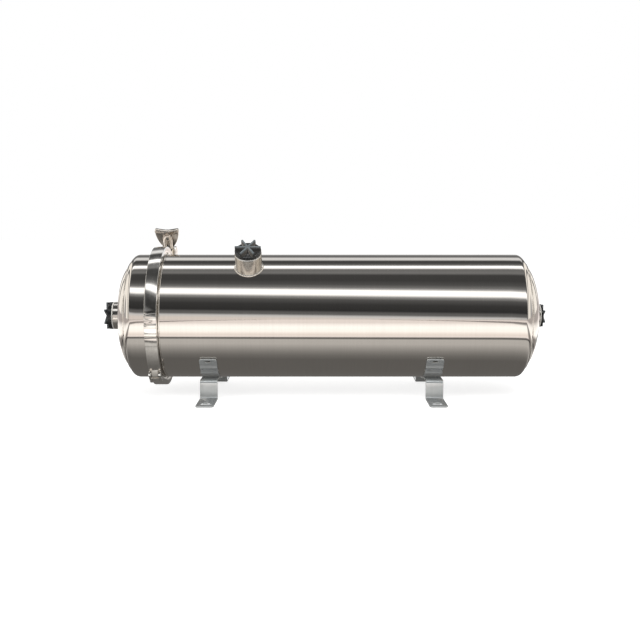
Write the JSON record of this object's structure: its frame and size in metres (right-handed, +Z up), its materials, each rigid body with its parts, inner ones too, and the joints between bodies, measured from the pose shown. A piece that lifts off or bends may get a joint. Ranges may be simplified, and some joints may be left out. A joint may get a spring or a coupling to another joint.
{
  "type": "ultrafiltration water filter",
  "caption": "Stainless hollow-fibre water filter: a lying cylinder on folded brackets, with a cap held by a V-band clamp, a wing nut and star-grip port plugs.",
  "frame": {"origin": "centre of the four foot holes, on the surface that the filter stands on", "axes": "+X along the shell from the clamped cap to the welded end, +Z up, -Y the front with the side port"},
  "size_m": [0.5683, 0.216, 0.2111],
  "materials": {
    "polished_stainless": "polished",
    "turned_stainless": "turned",
    "cast_stainless": "cast and tumbled",
    "pressed_stainless": "cold rolled, folded",
    "black_plastic": "moulded",
    "black_rubber": "moulded",
    "white_silicone": "moulded",
    "white_plastic": "moulded",
    "potting_resin": "cast resin",
    "hollow_fibre": "bundled fibres"
  },
  "bodies": {
    "housing": {"shell_tube": "polished_stainless", "rear_dished_end": "polished_stainless", "cap_skirt": "polished_stainless", "cap_dished_end": "polished_stainless", "shell_flange": "polished_stainless", "cap_flange": "polished_stainless", "body_gasket": "white_silicone", "side_port_socket": "turned_stainless", "cap_port_socket": "turned_stainless", "rear_port_socket": "turned_stainless", "side_plug_seal": "black_rubber", "cap_plug_seal": "black_rubber", "rear_plug_seal": "black_rubber", "clamp_half_front": "cast_stainless", "clamp_half_rear": "cast_stainless", "clamp_hinge_link": "cast_stainless", "clamp_hinge_pin_front": "turned_stainless", "clamp_hinge_pin_rear": "turned_stainless", "bolt_pivot_pin": "turned_stainless", "cap_end_collar": "white_plastic", "rear_end_collar": "white_plastic", "cap_end_ring": "black_rubber", "rear_end_ring": "black_rubber", "cap_end_potting": "potting_resin", "rear_end_potting": "potting_resin", "fibre_bundle": "hollow_fibre", "bundle_cage": "white_plastic", "left_saddle": "pressed_stainless", "left_front_leg": "pressed_stainless", "left_back_leg": "pressed_stainless", "right_saddle": "pressed_stainless", "right_front_leg": "pressed_stainless", "right_back_leg": "pressed_stainless"},
    "swing_bolt": {"swing_bolt": "turned_stainless"},
    "wing_nut": {"wing_nut": "cast_stainless"},
    "side_port_plug": {"side_port_plug": "black_plastic"},
    "cap_port_plug": {"cap_port_plug": "black_plastic"},
    "rear_port_plug": {"rear_port_plug": "black_plastic"}
  },
  "joints": [
    {"name": "bolt_swing", "type": "hinge", "parent": "housing", "child": "swing_bolt", "pos_m": [-0.207, 0.08421, 0.15308], "axis": [-1, 0, 0], "range_deg": [0, 95]},
    {"name": "nut_turn", "type": "hinge", "parent": "swing_bolt", "child": "wing_nut", "pos_m": [-0.207, 0.08192, 0.15636], "axis": [0, -0.5736, 0.8192], "continuous": true},
    {"name": "side_plug_turn", "type": "hinge", "parent": "housing", "child": "side_port_plug", "pos_m": [-0.0906, 0, 0.099], "axis": [0, -0.5519, 0.8339], "continuous": true},
    {"name": "cap_plug_turn", "type": "hinge", "parent": "housing", "child": "cap_port_plug", "pos_m": [-0.27, 0, 0.099], "axis": [-1, 0, 0], "continuous": true},
    {"name": "rear_plug_turn", "type": "hinge", "parent": "housing", "child": "rear_port_plug", "pos_m": [0.285, 0, 0.099], "axis": [1, 0, 0], "continuous": true}
  ]
}
